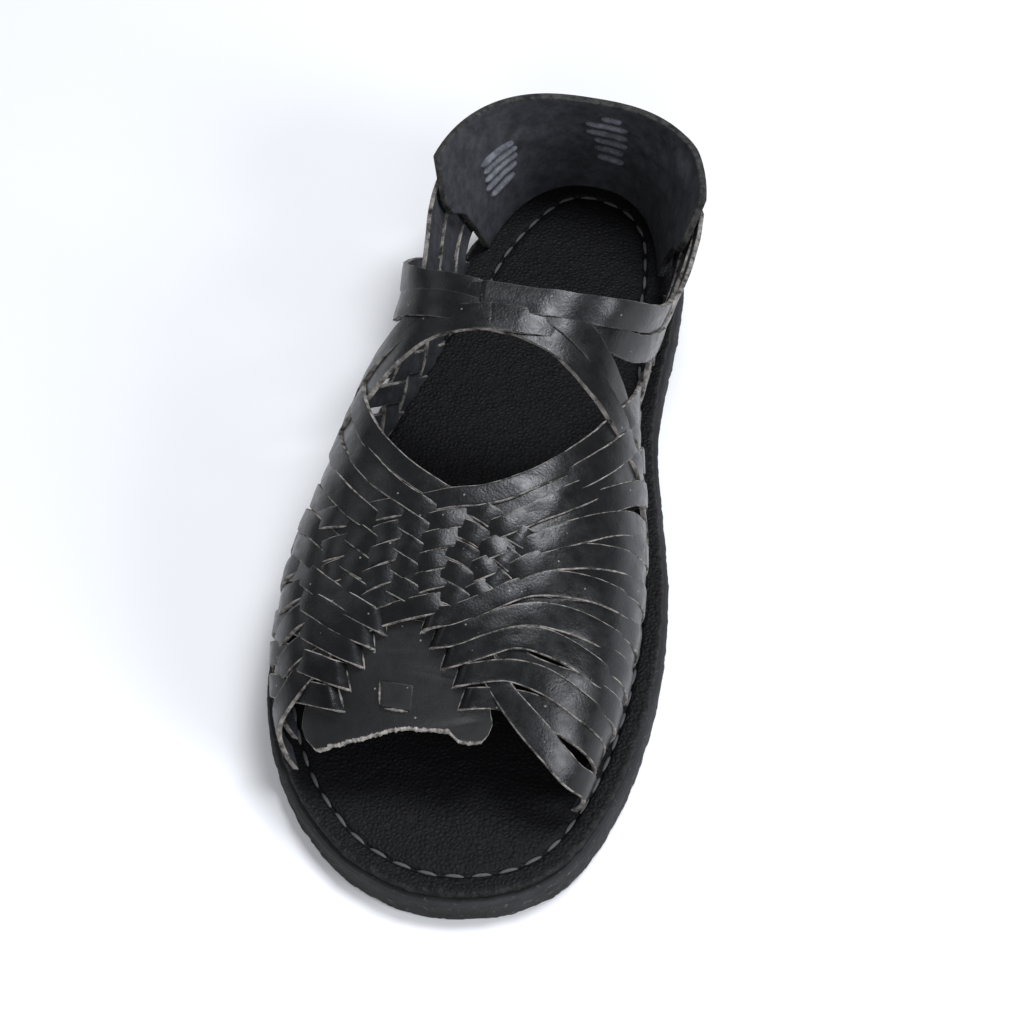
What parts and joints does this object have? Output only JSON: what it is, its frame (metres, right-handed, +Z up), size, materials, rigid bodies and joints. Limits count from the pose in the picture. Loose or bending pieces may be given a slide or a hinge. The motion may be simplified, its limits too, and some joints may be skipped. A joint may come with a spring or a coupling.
{
  "type": "huarache sandal",
  "caption": "Open-toed woven leather sandal with interlaced strips over the foot, a plain heel counter, a leather insole and a flat rubber sole with wavy grooves",
  "frame": {"origin": "on the ground under the middle of the sole's box", "axes": "+Y runs from the toe to the heel, +X to the inner side of the foot, +Z up"},
  "size_m": [0.1104, 0.268, 0.0768],
  "materials": {
    "sole_rubber": "matte charcoal rubber with cut edges",
    "insole_leather": "pebbled matte black leather",
    "strip_leather": "black leather with a soft sheen and raw cut edges",
    "plate_leather": "smooth black leather",
    "counter_leather": "smooth black leather, fleshy grey inside"
  },
  "bodies": {
    "root": {"outsole": "sole_rubber", "insole": "insole_leather", "upper": "strip_leather", "vamp_plate": "plate_leather", "heel_counter": "counter_leather"}
  },
  "joints": []
}
